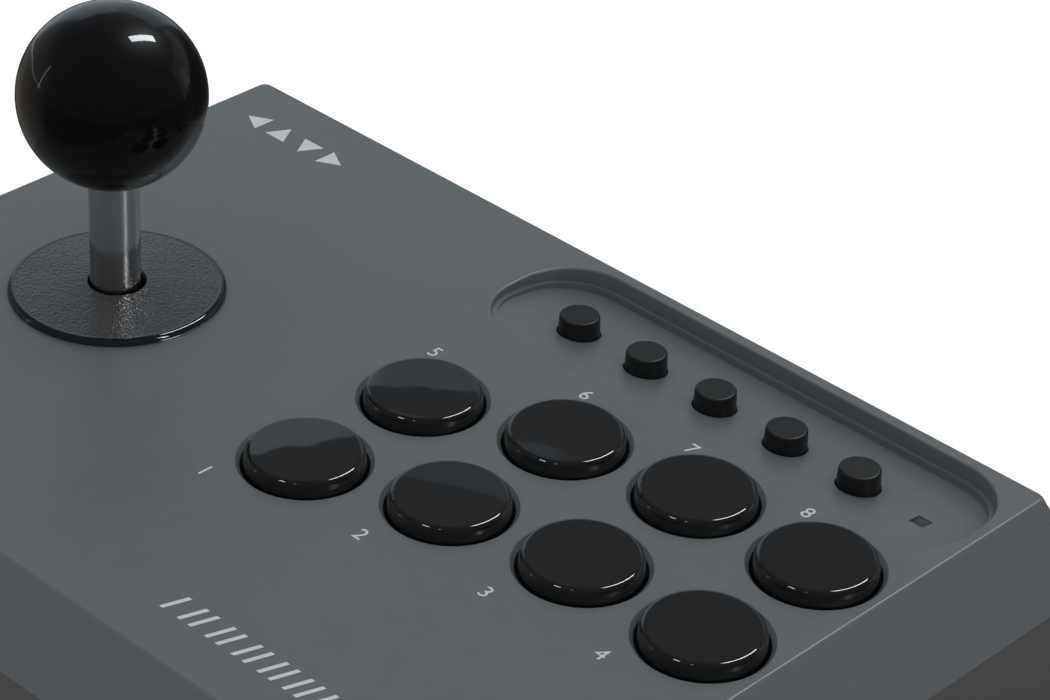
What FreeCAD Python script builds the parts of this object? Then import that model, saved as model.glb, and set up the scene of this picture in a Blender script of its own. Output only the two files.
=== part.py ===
"""Arcade joystick panel: a two-part case with a ball-top lever, eight round buttons and five small ones.

Millimetres, +Z up. The origin is on the surface that the case stands on, under the middle of its widest
outline. +X runs along the case to the button end, and +Y runs to the back, where the cable comes in.
"""

import FreeCAD, Part
import math
import os

import Sketcher

OUT_DIR = "parts"

# Every driving dimension: the word it is called by, its value, and what it is.
DIMENSIONS = [
    ("foot_bottom", 0.0, "underside of the feet, on the table"),
    ("base_height", 2.0, "underside of the lower shell"),
    ("split_height", 30.5, "widest line, where the two shells meet"),
    ("top_height", 47.5, "flat top of the case"),
    ("top_length", 197.7, "flat top, along X"),
    ("top_depth", 141.6, "flat top, along Y"),
    ("wide_length", 215.6, "widest outline, along X"),
    ("wide_depth", 154.6, "widest outline, along Y"),
    ("base_length", 211.0, "underside, along X"),
    ("base_depth", 150.0, "underside, along Y"),
    ("case_corner", 2.0, "radius of the case's four corners"),
    ("crease_radius", 0.7, "rounding of the edge between the flat top and the sides"),
    ("panel_wall", 2.5, "thickness of both shells"),
    ("split_gap", 0.1, "shadow gap between the shells"),
    ("split_step", 0.3, "how far the lower shell stands in at the split"),
    # the main buttons
    ("button_1_x", 5.6, "first column of buttons"),
    ("button_1_y", -15.7, "front row, first column"),
    ("button_2_x", 31.6, "second column"),
    ("button_2_y", -6.7, "front row, second column"),
    ("button_3_x", 58.4, "third column"),
    ("button_3_y", -2.6, "front row, third column"),
    ("button_4_x", 85.2, "fourth column"),
    ("button_4_y", -2.7, "front row, fourth column"),
    ("row_pitch", 28.4, "back row behind the front row"),
    ("button_hole", 11.25, "radius of a main button's hole"),
    ("button_sink", 0.75, "chamfer round a main button's hole"),
    ("collar_radius", 13.3, "outside of the guide collar under each hole"),
    ("collar_height", 3.5, "guide collar below the flat top's underside"),
    ("cap_top", 10.35, "radius of a cap at its top edge"),
    ("cap_waist", 10.7, "radius of a cap level with the flat top"),
    ("cap_skirt", 10.95, "radius of a cap at its flange"),
    ("cap_flange", 12.7, "radius of the flange that keeps a cap in"),
    ("cap_flange_height", 1.2, "thickness of that flange"),
    ("cap_rise", 2.3, "cap above the flat top"),
    ("cap_edge", 1.0, "rounding of a cap's top edge"),
    ("cap_wall", 1.6, "wall of a cap"),
    ("stem_radius", 2.6, "stem under a cap that presses the dome"),
    ("running_gap", 0.1, "gap between pieces that meet and move"),
    # the tilted recess with the small buttons
    ("recess_left", -10.9, "left end of the recess"),
    ("recess_right", 96.6, "right end of the recess"),
    ("recess_front", 39.3, "front line of the recess"),
    ("recess_back", 68.0, "back of the recess"),
    ("recess_corner", 12.5, "corner radius of the recess"),
    ("recess_tilt", 7.5, "slope of the recess floor, degrees down to the back"),
    ("recess_lip", 0.5, "depth of the recess at its front line"),
    ("recess_rounding", 0.42, "rounding of the rim of the recess"),
    ("ledge_width", 1.1, "ledge round the recess wall"),
    ("ledge_tilt", 4.8, "slope of that ledge, degrees down to the back"),
    ("recess_wall", 2.0, "thickness of the recess floor"),
    ("recess_tub_height", 3.2, "walls round the recess, above its floor"),
    ("recess_rim", 1.2, "wall round the recess, below the flat top"),
    ("small_first_x", 6.65, "first small button"),
    ("small_pitch", 16.57, "from one small button to the next"),
    ("small_y", 51.8, "row of small buttons"),
    ("small_hole", 4.15, "radius of a small button's hole"),
    ("small_base", 3.95, "radius of a small button at the floor"),
    ("small_crown", 3.75, "radius of a small button at its top"),
    ("small_edge", 0.5, "rounding of a small button's top edge"),
    ("small_top_height", 49.15, "top of the small buttons"),
    ("small_flange", 4.9, "radius of a small button's flange"),
    ("small_flange_top", 42.4, "upper face of that flange"),
    ("small_stem", 1.6, "radius of a small button's stem"),
    ("window_x", 87.1, "indicator window"),
    ("window_y", 51.35, "indicator window"),
    ("window_side", 3.0, "side of the square window"),
    ("window_height", 45.1, "face of the window's lens"),
    # the lever
    ("lever_x", -58.3, "lever axis"),
    ("lever_y", -3.5, "lever axis"),
    ("pivot_height", 29.0, "centre of the lever's pivot ball"),
    ("lever_hole", 11.0, "radius of the hole in the flat top"),
    ("knob_radius", 17.15, "ball knob"),
    ("knob_height", 87.8, "centre of the ball knob"),
    ("shaft_radius", 4.7, "shaft above the pivot"),
    ("spindle_radius", 3.0, "shaft through the pivot and in the knob"),
    ("shaft_foot", 6.2, "lower end of the shaft"),
    ("shoulder_height", 37.0, "where the shaft turns thick"),
    ("neck_height", 76.5, "where the shaft turns thin again, in the knob"),
    ("stud_height", 85.5, "top of the stud in the knob"),
    ("press_gap", 0.03, "gap between pieces of one body that fit each other"),
    ("washer_radius", 20.0, "dust washer"),
    ("washer_bore", 5.4, "hole in the dust washer"),
    ("washer_play", 0.2, "how far the dust washer lies off the lever axis, along X and along Y"),
    ("washer_thick", 1.2, "thickness of the dust washer"),
    ("washer_lift", 0.06, "dust washer above the flat top"),
    ("washer_edge", 0.9, "rounding of the dust washer's rim"),
    ("under_washer_radius", 15.5, "washer under the flat top"),
    ("under_washer_bore", 8.8, "hole in that washer"),
    ("under_washer_height", 43.7, "underside of that washer"),
    ("under_washer_thick", 0.8, "thickness of that washer"),
    ("housing_half", 22.0, "half the side of the lever housing"),
    ("housing_bottom", 22.5, "underside of the lever housing"),
    ("housing_top", 40.0, "top of the lever housing's flange"),
    ("flange_half", 29.5, "half the side of the flange"),
    ("flange_thick", 3.5, "thickness of the flange"),
    ("lever_screw_offset", 25.5, "lever screws from the lever axis"),
    ("pivot_radius", 7.0, "pivot ball"),
    ("socket_gap", 0.08, "gap round the pivot ball"),
    ("throat_radius", 4.7, "narrowest part of the mouth above the pivot ball"),
    ("mouth_radius", 10.6, "top of that mouth"),
    ("leg_side", 6.0, "side of a corner leg of the housing"),
    ("gate_half", 22.0, "half the side of the restrictor gate"),
    ("gate_bottom", 7.8, "underside of the gate"),
    ("gate_thick", 1.8, "thickness of the gate"),
    ("gate_opening", 9.45, "half the side of the gate's opening"),
    ("gate_corner", 3.0, "corner radius of that opening"),
    ("actuator_radius", 6.0, "actuator on the shaft's lower end"),
    ("actuator_top", 13.3, "top of the actuator"),
    ("retainer_radius", 6.5, "washer that the spring stands on"),
    ("retainer_thick", 0.9, "thickness of that washer"),
    ("spring_top_radius", 8.8, "centre line of the spring at its top"),
    ("spring_bottom_radius", 5.4, "centre line of the spring at its bottom"),
    ("spring_wire", 0.9, "spring wire diameter"),
    ("spring_pitch", 1.75, "spring's rise in one turn"),
    ("clip_radius", 4.6, "retaining clip"),
    ("clip_thick", 0.8, "thickness of the clip"),
    ("clip_groove", 2.4, "radius of the shaft in the clip's groove"),
    ("switch_board_height", 15.6, "underside of the switch board"),
    ("switch_board_half", 21.0, "half the length of each arm of the switch board"),
    ("switch_board_arm", 15.5, "half the width of each arm"),
    ("switch_board_hole", 11.0, "hole in the middle of the switch board"),
    ("switch_length", 12.8, "length of a microswitch"),
    ("switch_depth", 6.5, "depth of a microswitch, out from the lever"),
    ("switch_height", 5.75, "height of a microswitch"),
    ("switch_distance", 10.3, "face of a microswitch from the lever axis"),
    ("plunger_tip", 8.95, "tip of a microswitch plunger from the lever axis"),
    ("plunger_inside", 1.1, "how far a plunger reaches into its switch"),
    ("plunger_width", 2.2, "width of a plunger"),
    ("plunger_height", 1.0, "height of a plunger"),
    ("plunger_travel", 0.5, "free travel of a plunger"),
    # boards, domes and wiring
    ("board_thick", 1.6, "thickness of the boards"),
    ("main_board_top", 33.0, "upper face of the main board"),
    ("main_board_left", -15.0, "left edge of the main board"),
    ("main_board_right", 100.5, "right edge of the main board"),
    ("main_board_front", -32.0, "front edge of the main board"),
    ("main_board_back", 35.0, "back edge of the main board"),
    ("small_board_top", 37.5, "upper face of the small buttons' board"),
    ("small_board_left", -2.0, "left edge of that board"),
    ("small_board_right", 93.0, "right edge of that board"),
    ("small_board_front", 44.0, "front edge of that board"),
    ("small_board_back", 56.5, "back edge of that board"),
    ("dome_sheet", 0.8, "thickness of a dome sheet"),
    ("dome_rise", 2.3, "main dome above its sheet"),
    ("dome_foot", 6.0, "radius of a main dome at its foot"),
    ("dome_crown", 2.8, "radius of a main dome at its top"),
    ("small_dome_rise", 1.6, "small dome above its sheet"),
    ("small_dome_foot", 3.5, "radius of a small dome at its foot"),
    ("small_dome_crown", 1.9, "radius of a small dome at its top"),
    ("dome_skin", 0.6, "skin of a dome"),
    ("board_boss", 2.6, "radius of a boss that a board is screwed to"),
    ("board_boss_gap", 0.5, "gap round a boss where it passes through a dome sheet"),
    ("board_screw", 1.2, "radius of a board screw's shank"),
    ("board_screw_head", 2.4, "radius of a board screw's head"),
    ("board_screw_reach", 7.0, "board screw above the main board"),
    ("small_screw_reach", 5.0, "board screw above the small buttons' board"),
    ("screw_head_thick", 1.5, "thickness of a screw's head"),
    ("chip_side", 10.0, "side of the controller chip"),
    ("chip_thick", 1.4, "thickness of the controller chip"),
    ("chip_x", 62.0, "controller chip"),
    ("chip_y", 8.0, "controller chip"),
    ("plug_width", 9.0, "width of the lever cable's connectors, along Y"),
    ("plug_length", 4.5, "length of those connectors, along X"),
    ("plug_height", 4.0, "height of those connectors"),
    ("plug_y", 6.0, "middle of those connectors"),
    ("harness_radius", 1.5, "bundle of wires from the lever to the main board"),
    ("ribbon_x", 40.0, "ribbon between the two button boards"),
    ("ribbon_width", 14.0, "width of the ribbon"),
    ("ribbon_thick", 0.4, "thickness of the ribbon"),
    ("ribbon_overlap", 4.0, "ribbon under each board"),
    # fasteners, feet and the cable inlet
    ("case_screw_x", 64.0, "outer case screws, from the middle"),
    ("case_screw_y", 60.5, "case screws, from the middle"),
    ("post_radius", 3.8, "posts and bosses that the case screws pass through"),
    ("case_screw_seat", 20.0, "face that a case screw's head bears on"),
    ("case_screw_radius", 1.45, "radius of a case screw's shank"),
    ("case_screw_head", 2.8, "radius of a case screw's head"),
    ("case_screw_well", 3.2, "radius of the well that a case screw goes up"),
    ("case_screw_reach", 39.0, "tip of a case screw"),
    ("lever_screw_radius", 1.4, "radius of a lever screw's shank"),
    ("lever_screw_head", 2.6, "radius of a lever screw's head"),
    ("lever_screw_reach", 44.0, "tip of a lever screw"),
    ("lever_boss", 3.4, "radius of a boss that the lever is screwed to"),
    ("pilot_gap", 0.4, "pilot hole beyond the tip of its screw"),
    ("thread_gap", 0.05, "gap round a screw in its pilot hole"),
    ("foot_x", 92.0, "feet, from the middle"),
    ("foot_y", 62.0, "feet, from the middle"),
    ("foot_radius", 7.0, "radius of a foot at its top"),
    ("foot_face", 6.4, "radius of a foot's flat face"),
    ("foot_seat", 1.0, "depth of the seat that a foot is glued in"),
    ("cable_x", -30.0, "cable inlet"),
    ("cable_height", 17.0, "cable inlet"),
    ("cable_bore", 2.4, "radius of the bore that the cable passes through"),
    ("inlet_seat", 72.3, "upright face that the inlet's collar lies on"),
    ("inlet_inside", 65.8, "inner end of the inlet"),
    ("inlet_outside", 77.2, "outer end of the inlet"),
    ("inlet_hole", 4.5, "radius of the hole in the lower shell"),
    ("inlet_collar", 6.0, "radius of the inlet's collars"),
    ("inlet_collar_thick", 1.8, "thickness of those collars"),
    ("inlet_nose", 3.9, "radius of the inlet's nose at its outer end"),
    ("inlet_pocket", 7.5, "half the width of the pocket round the inlet"),
    ("inlet_block_half", 11.0, "half the width of the thick wall at the inlet"),
    ("inlet_block_low", 8.0, "lower edge of the thick wall"),
    ("inlet_block_high", 26.0, "upper edge of the thick wall"),
    ("inlet_block_inside", 68.3, "inner face of the thick wall"),
]

# Bosses that hold the main board, in the gaps between the buttons: x, y.
MAIN_BOARD_BOSSES = [(-10.0, -1.5), (19.0, -27.0), (72.0, -20.0), (17.0, 31.0), (97.3, 11.5), (45.0, 9.5)]
SMALL_BOARD_BOSS_GAPS = [0, 3]  # the board's bosses stand after these small buttons, counted from 0
BUTTON_COLUMNS = 4
SMALL_BUTTONS = 5
SIGNS = (-1, 1)
TOUCH = 0.01  # two heights closer than this are the same
ROOT = 0.5  # how far one feature starts inside another, so that the two join


class Size:
    """A number and the spreadsheet expression that gives it, so that arithmetic keeps both."""

    def __init__(self, value, text):
        self.value = value
        self.text = text

    def __add__(self, other):
        other = as_size(other)
        return Size(self.value + other.value, f"({self.text} + {other.text})")

    def __sub__(self, other):
        other = as_size(other)
        return Size(self.value - other.value, f"({self.text} - {other.text})")

    def __mul__(self, other):
        other = as_size(other)
        return Size(self.value * other.value, f"({self.text} * {other.text})")

    def __truediv__(self, other):
        other = as_size(other)
        return Size(self.value / other.value, f"({self.text} / {other.text})")

    def __radd__(self, other):
        return as_size(other) + self

    def __rsub__(self, other):
        return as_size(other) - self

    def __rmul__(self, other):
        return as_size(other) * self

    def __neg__(self):
        return self * -1


def as_size(number):
    """The number itself, if it is a Size already, or else a constant."""
    return number if isinstance(number, Size) else Size(float(number), f"({float(number)})")


class Dimensions:
    """Gives each cell of the spreadsheet by its name, as a Size."""

    def __init__(self, document):
        sheet = document.addObject("Spreadsheet::Sheet", "dim")
        for row, (word, value, meaning) in enumerate(DIMENSIONS, start=1):
            sheet.set(f"A{row}", word)
            sheet.set(f"B{row}", str(value))
            sheet.set(f"C{row}", meaning)
            sheet.setAlias(f"B{row}", word)
            setattr(self, word, Size(value, f"dim.{word}"))


doc = FreeCAD.newDocument("joystick_panel")
dim = Dimensions(doc)
doc.recompute()
sub_parts = []


# ---------------------------------------------------------------- building blocks


def bind(thing, path, size):
    """Ties a property to the sheet."""
    thing.setExpression(path, as_size(size).text)


def node(thing, name):
    """Marks a finished object as a sub-part and gives it its name."""
    thing.Label = name
    sub_parts.append(thing)
    return thing


def place(thing, x=0, y=0, z=0, axis=(0, 0, 1), angle=0):
    """Puts an object at a point, turned by an angle in degrees about an axis."""
    where = [as_size(x), as_size(y), as_size(z)]
    turn = FreeCAD.Rotation(FreeCAD.Vector(*axis), angle)
    thing.Placement = FreeCAD.Placement(FreeCAD.Vector(*[w.value for w in where]), turn)
    for letter, size in zip("xyz", where):
        bind(thing, f"Placement.Base.{letter}", size)
    return thing


def box(name, low, high):
    """A block between two corners."""
    block = doc.addObject("Part::Box", name)
    for prop, start, end in zip(("Length", "Width", "Height"), low, high):
        bind(block, prop, as_size(end) - as_size(start))
    return place(block, *low)


def cylinder(name, radius, low, high, x=0, y=0):
    """An upright round bar from one height to another."""
    bar = doc.addObject("Part::Cylinder", name)
    bind(bar, "Radius", radius)
    bind(bar, "Height", as_size(high) - as_size(low))
    return place(bar, x, y, low)


def cone(name, low_radius, high_radius, low, high, x=0, y=0):
    """An upright taper from one height to another."""
    taper = doc.addObject("Part::Cone", name)
    bind(taper, "Radius1", low_radius)
    bind(taper, "Radius2", high_radius)
    bind(taper, "Height", as_size(high) - as_size(low))
    return place(taper, x, y, low)


def sphere(name, radius, x, y, z):
    """A whole ball."""
    ball = doc.addObject("Part::Sphere", name)
    bind(ball, "Radius", radius)
    return place(ball, x, y, z)


def fuse(name, shapes):
    """Several shapes as one."""
    whole = doc.addObject("Part::MultiFuse", name)
    whole.Shapes = shapes
    return whole


def cut(name, base, tools):
    """The base with each tool taken out of it."""
    whole = doc.addObject("Part::Cut", name)
    whole.Base = base
    whole.Tool = tools[0] if len(tools) == 1 else fuse(name + "_tools", tools)
    return whole


def group(name, shapes):
    """Separate solids that share one sub-part."""
    whole = doc.addObject("Part::Compound", name)
    whole.Links = shapes
    return whole


def new_body(name):
    """An empty PartDesign body."""
    return doc.addObject("PartDesign::Body", name)


def new_sketch(body, name, plane="XY_Plane", offset=0):
    """A sketch on one of the body's own origin planes, moved along that plane's normal."""
    sketch = body.newObject("Sketcher::SketchObject", name)
    support = [feature for feature in body.Origin.OriginFeatures if feature.Role == plane][0]
    sketch.AttachmentSupport = (support, [""])
    sketch.MapMode = "FlatFace"
    sketch.AttachmentOffset = FreeCAD.Placement(
        FreeCAD.Vector(0, 0, as_size(offset).value), FreeCAD.Rotation()
    )
    bind(sketch, "AttachmentOffset.Base.z", offset)
    return sketch


def pin_point(sketch, geometry, point, x, y):
    """Fixes one point of the sketch at its distances from the origin."""
    for kind, size in (("DistanceX", as_size(x)), ("DistanceY", as_size(y))):
        index = sketch.addConstraint(
            Sketcher.Constraint(kind, -1, 1, geometry, point, size.value)
        )
        bind(sketch, f"Constraints[{index}]", size)


def circle(sketch, radius, x=0, y=0):
    """A circle, placed and sized from the sheet."""
    centre = FreeCAD.Vector(as_size(x).value, as_size(y).value, 0)
    ring = Part.Circle(centre, FreeCAD.Vector(0, 0, 1), as_size(radius).value)
    geometry = sketch.addGeometry(ring, False)
    pin_point(sketch, geometry, 3, x, y)
    index = sketch.addConstraint(Sketcher.Constraint("Radius", geometry, as_size(radius).value))
    bind(sketch, f"Constraints[{index}]", radius)


def outline(sketch, corners):
    """A closed outline through the corners, each (x, y) or (x, y, radius) where it is rounded."""
    corners = [tuple(as_size(size) for size in corner) for corner in corners]
    spots = [FreeCAD.Vector(corner[0].value, corner[1].value, 0) for corner in corners]
    count = len(corners)
    entries = []
    exits = []
    for i, corner in enumerate(corners):
        back = (spots[i - 1] - spots[i]).normalize()
        ahead = (spots[(i + 1) % count] - spots[i]).normalize()
        run = 0
        if len(corner) == 3:
            run = corner[2].value / math.tan(back.getAngle(ahead) / 2)
        entries.append(spots[i] + back * run)
        exits.append(spots[i] + ahead * run)
    lines = [
        sketch.addGeometry(Part.LineSegment(exits[i], entries[(i + 1) % count]), False)
        for i in range(count)
    ]
    for i, corner in enumerate(corners):
        before, after = lines[i - 1], lines[i]
        if len(corner) == 2:
            sketch.addConstraint(Sketcher.Constraint("Coincident", before, 2, after, 1))
            pin_point(sketch, after, 1, corner[0], corner[1])
            continue
        round_corner(sketch, before, after, entries[i], exits[i], spots[i], corner)


def round_corner(sketch, before, after, entry, leave, spot, corner):
    """Joins two lines by an arc that is tangent to both, and pins the sharp corner outside it."""
    into = entry - spot
    out = leave - spot
    radius = corner[2]
    half = into.getAngle(out) / 2
    centre = spot + (into + out).normalize() * (radius.value / math.sin(half))
    left_turn = into.cross(out).z < 0
    first, last = (entry, leave) if left_turn else (leave, entry)
    start = math.atan2((first - centre).y, (first - centre).x)
    end = math.atan2((last - centre).y, (last - centre).x)
    ring = Part.Circle(centre, FreeCAD.Vector(0, 0, 1), radius.value)
    arc = sketch.addGeometry(Part.ArcOfCircle(ring, start, end), False)
    point = sketch.addGeometry(Part.Point(spot), True)
    entry_end, exit_end = (1, 2) if left_turn else (2, 1)
    sketch.addConstraint(Sketcher.Constraint("Tangent", before, 2, arc, entry_end))
    sketch.addConstraint(Sketcher.Constraint("Tangent", after, 1, arc, exit_end))
    sketch.addConstraint(Sketcher.Constraint("PointOnObject", point, 1, before))
    sketch.addConstraint(Sketcher.Constraint("PointOnObject", point, 1, after))
    pin_point(sketch, point, 1, corner[0], corner[1])
    index = sketch.addConstraint(Sketcher.Constraint("Radius", arc, radius.value))
    bind(sketch, f"Constraints[{index}]", radius)


def rectangle(sketch, left, right, front, back, radius=None):
    """A rectangle, rounded at its corners if a radius is given."""
    rounding = () if radius is None else (radius,)
    corners = [(left, front), (right, front), (right, back), (left, back)]
    outline(sketch, [corner + rounding for corner in corners])


def centred(sketch, length, depth, radius):
    """A rounded rectangle about the sketch's origin."""
    half_length = as_size(length) / 2
    half_depth = as_size(depth) / 2
    rectangle(sketch, -half_length, half_length, -half_depth, half_depth, radius)


def feature(body, kind, name, sketch, length=None, reverse=False, middle=False):
    """A sketch-based PartDesign feature, with its length from the sheet."""
    made = body.newObject(f"PartDesign::{kind}", name)
    made.Profile = sketch
    if length is not None:
        bind(made, "Length", length)
    made.Reversed = reverse
    if middle:
        made.SideType = "Symmetric"
    return made


def flared_block(body, low, high):
    """A block whose four sides slope straight from one (length, depth, height) to another."""
    reach = dim.wide_depth / 2 + 5
    across = new_sketch(body, "across", "XZ_Plane")
    outline(
        across,
        [
            (-low[0] / 2, low[2]),
            (low[0] / 2, low[2]),
            (high[0] / 2, high[2]),
            (-high[0] / 2, high[2]),
        ],
    )
    feature(body, "Pad", "block", across, reach * 2, middle=True)
    for side in SIGNS:
        flank = new_sketch(body, f"flank_{side + 2}", "YZ_Plane")
        outline(
            flank,
            [
                (low[1] / 2 * side, low[2]),
                (high[1] / 2 * side, high[2]),
                (reach * side + side, high[2]),
                (reach * side + side, low[2]),
            ],
        )
        feature(body, "Pocket", f"flank_cut_{side + 2}", flank, dim.wide_length + 2, middle=True)


def height_span(edge):
    heights = [vertex.Z for vertex in edge.Vertexes]
    return max(heights) - min(heights)


def round_uprights(body, closed_height):
    """Rounds the case's four outer corners, whose edges reach the closed end of the shell."""

    def outer(edge):
        reaches = min(abs(vertex.Z - closed_height.value) for vertex in edge.Vertexes) < TOUCH
        return reaches and height_span(edge) > dim.panel_wall.value * 2

    fillet(body, "upright_corners", dim.case_corner, outer)


def hollow(body, wall, open_height):
    """Leaves an even wall behind every face but the level one at open_height."""
    doc.recompute()
    base = body.Tip
    made = body.newObject("PartDesign::Thickness", "wall")
    mouth = [
        f"Face{i}"
        for i, face in enumerate(base.Shape.Faces, start=1)
        if max(abs(vertex.Z - open_height.value) for vertex in face.Vertexes) < TOUCH
    ]
    made.Base = (base, mouth)
    bind(made, "Value", wall)
    made.Join = "Intersection"
    made.Reversed = True


def fillet(body, name, radius, chosen):
    """Rounds the edges of the body's last feature for which chosen(edge) holds."""
    doc.recompute()
    base = body.Tip
    names = [f"Edge{i}" for i, edge in enumerate(base.Shape.Edges, start=1) if chosen(edge)]
    made = body.newObject("PartDesign::Fillet", name)
    made.Base = (base, names)
    bind(made, "Radius", radius)
    doc.recompute()
    return made


def chamfer(body, name, width, chosen):
    """Bevels the edges of the body's last feature for which chosen(edge) holds."""
    doc.recompute()
    base = body.Tip
    names = [f"Edge{i}" for i, edge in enumerate(base.Shape.Edges, start=1) if chosen(edge)]
    made = body.newObject("PartDesign::Chamfer", name)
    made.Base = (base, names)
    bind(made, "Size", width)
    doc.recompute()
    return made


def is_ring(edge, radius, lowest):
    """Whether an edge is a circle of this radius, no lower than a height."""
    round_edge = isinstance(edge.Curve, Part.Circle)
    return round_edge and abs(edge.Curve.Radius - radius.value) < TOUCH and edge.BoundBox.ZMin > lowest


def turned(name, corners):
    """A body turned about its own Z axis from a half section of (radius, height) corners."""
    body = new_body(name)
    sketch = new_sketch(body, name + "_section", "XZ_Plane")
    outline(sketch, corners)
    made = body.newObject("PartDesign::Revolution", name + "_turned")
    made.Profile = sketch
    made.ReferenceAxis = (sketch, ["V_Axis"])
    made.Angle = 360
    return body


def button_centres():
    """Columns of the front row, then the back row behind them."""
    front = [
        (getattr(dim, f"button_{i}_x"), getattr(dim, f"button_{i}_y"))
        for i in range(1, BUTTON_COLUMNS + 1)
    ]
    return front + [(x, y + dim.row_pitch) for x, y in front]


def small_button_centres():
    return [(dim.small_first_x + dim.small_pitch * i, dim.small_y) for i in range(SMALL_BUTTONS)]


def small_board_bosses():
    return [(dim.small_first_x + dim.small_pitch * (i + 0.5), dim.small_y) for i in SMALL_BOARD_BOSS_GAPS]


def case_screw_centres():
    return [(dim.case_screw_x * i, dim.case_screw_y * j) for i in (-1, 0, 1) for j in SIGNS]


def lever_screw_centres():
    return [
        (dim.lever_x + dim.lever_screw_offset * i, dim.lever_y + dim.lever_screw_offset * j)
        for i in SIGNS
        for j in SIGNS
    ]


def circles(sketch, radius, centres):
    for x, y in centres:
        circle(sketch, radius, x, y)


# ---------------------------------------------------------------- the case

ceiling = dim.top_height - dim.panel_wall
floor = dim.base_height + dim.panel_wall
boss_root = ceiling + ROOT  # bosses start inside the flat top, so that they join it


def recess_sketch(body, name, slope, height, grow):
    """The recess outline, larger all round by grow, on a sloping plane raised from its front line."""
    sketch = new_sketch(body, name)
    tilt = FreeCAD.Rotation(FreeCAD.Vector(1, 0, 0), -slope.value)
    up = as_size(height)
    front = dim.recess_front
    low = dim.top_height - dim.recess_lip
    sketch.AttachmentOffset = FreeCAD.Placement(FreeCAD.Vector(0, 0, 0), tilt)
    bind(sketch, "AttachmentOffset.Rotation.Angle", -slope)
    sine = Size(math.sin(math.radians(slope.value)), f"sin({slope.text} * 1 deg)")
    cosine = Size(math.cos(math.radians(slope.value)), f"cos({slope.text} * 1 deg)")
    bind(sketch, "AttachmentOffset.Base.y", front + up * sine)
    bind(sketch, "AttachmentOffset.Base.z", low + up * cosine)
    rectangle(
        sketch,
        dim.recess_left - grow,
        dim.recess_right + grow,
        -as_size(grow),
        (dim.recess_back - front) / cosine + grow,
        dim.recess_corner + grow,
    )
    return sketch


def on_recess_rim(edge):
    """Whether an edge of the flat top lies within the recess's outline."""
    box = edge.BoundBox
    level = box.ZMin > dim.top_height.value - TOUCH
    across = dim.recess_left.value - TOUCH < box.XMin and box.XMax < dim.recess_right.value + TOUCH
    along = dim.recess_front.value - TOUCH < box.YMin and box.YMax < dim.recess_back.value + TOUCH
    return level and across and along


def top_shell():
    """Upper shell: flat top with flared sides, holes, tilted recess, guide collars and bosses."""
    body = new_body("top_shell")
    widest = (dim.wide_length, dim.wide_depth, dim.split_height)
    flat = (dim.top_length, dim.top_depth, dim.top_height)
    flared_block(body, widest, flat)
    hollow(body, dim.panel_wall, dim.split_height)
    round_uprights(body, dim.top_height)
    top = dim.top_height.value - TOUCH
    fillet(body, "crease", dim.crease_radius, lambda edge: min(v.Z for v in edge.Vertexes) > top)

    collars = new_sketch(body, "collars", offset=boss_root)
    circles(collars, dim.collar_radius, button_centres())
    feature(body, "Pad", "collar_pad", collars, dim.collar_height + ROOT, reverse=True)
    bosses = [
        ("case", dim.post_radius, dim.split_height + dim.split_gap, case_screw_centres()),
        ("lever", dim.lever_boss, dim.housing_top, lever_screw_centres()),
        ("main_board", dim.board_boss, dim.main_board_top, MAIN_BOARD_BOSSES),
        ("small_board", dim.board_boss, dim.small_board_top, small_board_bosses()),
    ]
    for word, radius, end, centres in bosses:
        sketch = new_sketch(body, word + "_bosses", offset=boss_root)
        circles(sketch, radius, centres)
        feature(body, "Pad", word + "_boss_pad", sketch, boss_root - end, reverse=True)
    deep = 10  # more than the depth of the recess at its back, with its walls
    tub = recess_sketch(body, "recess_tub", dim.recess_tilt, -dim.recess_wall, dim.recess_rim)
    feature(body, "Pad", "recess_tub_pad", tub, dim.recess_wall + dim.recess_tub_height)
    above = new_sketch(body, "above_the_top", offset=dim.top_height)
    beyond = 10  # past the recess on every side, so that the trim takes in the whole tub
    rectangle(
        above,
        dim.recess_left - beyond,
        dim.recess_right + beyond,
        dim.recess_front - beyond,
        dim.recess_back + beyond,
    )
    feature(body, "Pocket", "trim_to_the_top", above, deep, reverse=True)
    shelf = recess_sketch(body, "recess_shelf", dim.ledge_tilt, 0, 0)
    feature(body, "Pocket", "recess_shelf_cut", shelf, deep, reverse=True)
    fillet(body, "recess_edge", dim.recess_rounding, on_recess_rim)
    pan = recess_sketch(body, "recess_pan", dim.recess_tilt, 0, -dim.ledge_width)
    feature(body, "Pocket", "recess_pan_cut", pan, deep, reverse=True)

    main_tip = dim.main_board_top + dim.board_screw_reach
    small_tip = dim.small_board_top + dim.small_screw_reach
    pilots = [
        ("case", dim.case_screw_radius, dim.split_height, dim.case_screw_reach, case_screw_centres()),
        ("lever", dim.lever_screw_radius, dim.housing_top, dim.lever_screw_reach, lever_screw_centres()),
        ("main_board", dim.board_screw, dim.main_board_top, main_tip, MAIN_BOARD_BOSSES),
        ("small_board", dim.board_screw, dim.small_board_top, small_tip, small_board_bosses()),
    ]
    for word, radius, start, end, centres in pilots:
        sketch = new_sketch(body, word + "_pilots", offset=start)
        circles(sketch, radius + dim.thread_gap, centres)
        feature(body, "Pocket", word + "_pilot_cut", sketch, end - start + dim.pilot_gap, reverse=True)

    holes = new_sketch(body, "holes", offset=dim.top_height)
    circles(holes, dim.button_hole, button_centres())
    circles(holes, dim.small_hole, small_button_centres())
    circle(holes, dim.lever_hole, dim.lever_x, dim.lever_y)
    half = dim.window_side / 2
    rectangle(holes, dim.window_x - half, dim.window_x + half, dim.window_y - half, dim.window_y + half)
    feature(body, "Pocket", "hole_cut", holes, dim.panel_wall + dim.collar_height + deep)
    chamfer(body, "button_sinks", dim.button_sink, lambda edge: is_ring(edge, dim.button_hole, top))
    return node(body, "top_shell")


def lower_wall(height):
    """Half the depth of the lower shell's outside at a height."""
    share = (as_size(height) - dim.base_height) / (dim.split_height - dim.base_height)
    return dim.base_depth / 2 + (dim.wide_depth - dim.base_depth) / 2 * share


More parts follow.
